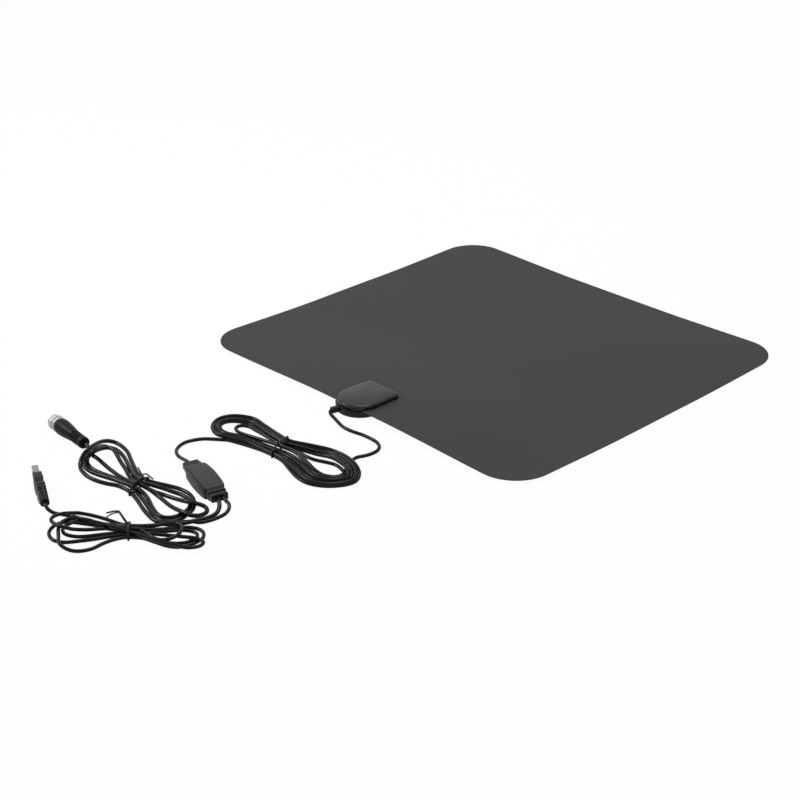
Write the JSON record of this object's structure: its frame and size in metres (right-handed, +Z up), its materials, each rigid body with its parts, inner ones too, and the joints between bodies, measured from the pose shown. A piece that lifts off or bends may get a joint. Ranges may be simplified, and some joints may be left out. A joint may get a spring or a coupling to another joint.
{
  "type": "indoor television antenna",
  "caption": "Flat film indoor antenna with a clip-on pod, a thin lead, an inline barrel-shaped amplifier, a screw-on aerial plug and a power plug, leads tied in hanks.",
  "frame": {"origin": "on the ground, in the middle of the box round the film and its pod", "axes": "+X along the film's edge that carries the pod, +Y from that edge inwards across the film, +Z up from the ground"},
  "size_m": [0.36, 0.602, 0.014],
  "materials": {
    "film": "satin",
    "foil": "satin",
    "pod": "gloss",
    "board": "matt",
    "core": "matt",
    "brass": "satin",
    "rubber": "matt",
    "cord": "gloss",
    "amplifier": "satin",
    "nickel": "bright",
    "steel": "bright",
    "white_plastic": "satin",
    "copper": "bright"
  },
  "bodies": {
    "antenna": {"film_front": "film", "film_back": "film", "foil_left": "foil", "foil_right": "foil", "pod_cover": "pod", "pod_base": "pod", "pod_board": "board", "pod_balun": "core", "pod_rivets": "brass", "lead_gland": "rubber", "lead_start": "cord", "lead_hank": "cord", "lead_tie": "rubber", "lead_end": "cord", "amp_case_top": "amplifier", "amp_case_bottom": "amplifier", "amp_inlet_gland": "rubber", "amp_outlet_gland": "rubber", "amp_board": "board", "amp_chip": "core", "amp_inductor": "core", "amp_capacitors": "copper", "tv_lead_start": "cord", "tv_hank": "cord", "tv_tie": "rubber", "tv_lead_end": "cord", "connector_boot": "rubber", "connector_body": "nickel", "connector_insulator": "white_plastic", "centre_contact": "copper", "usb_lead_start": "cord", "usb_hank": "cord", "usb_tie": "rubber", "usb_lead_end": "cord", "usb_grip": "rubber", "usb_shell": "steel", "usb_tongue": "white_plastic", "usb_contacts": "brass"},
    "coupling_nut": {"coupling_nut": "nickel"}
  },
  "joints": [
    {"name": "nut_spin", "type": "hinge", "parent": "antenna", "child": "coupling_nut", "pos_m": [-0.13064, -0.33951, 0.0064], "axis": [-0.9962, 0.0872, 0], "continuous": true}
  ]
}
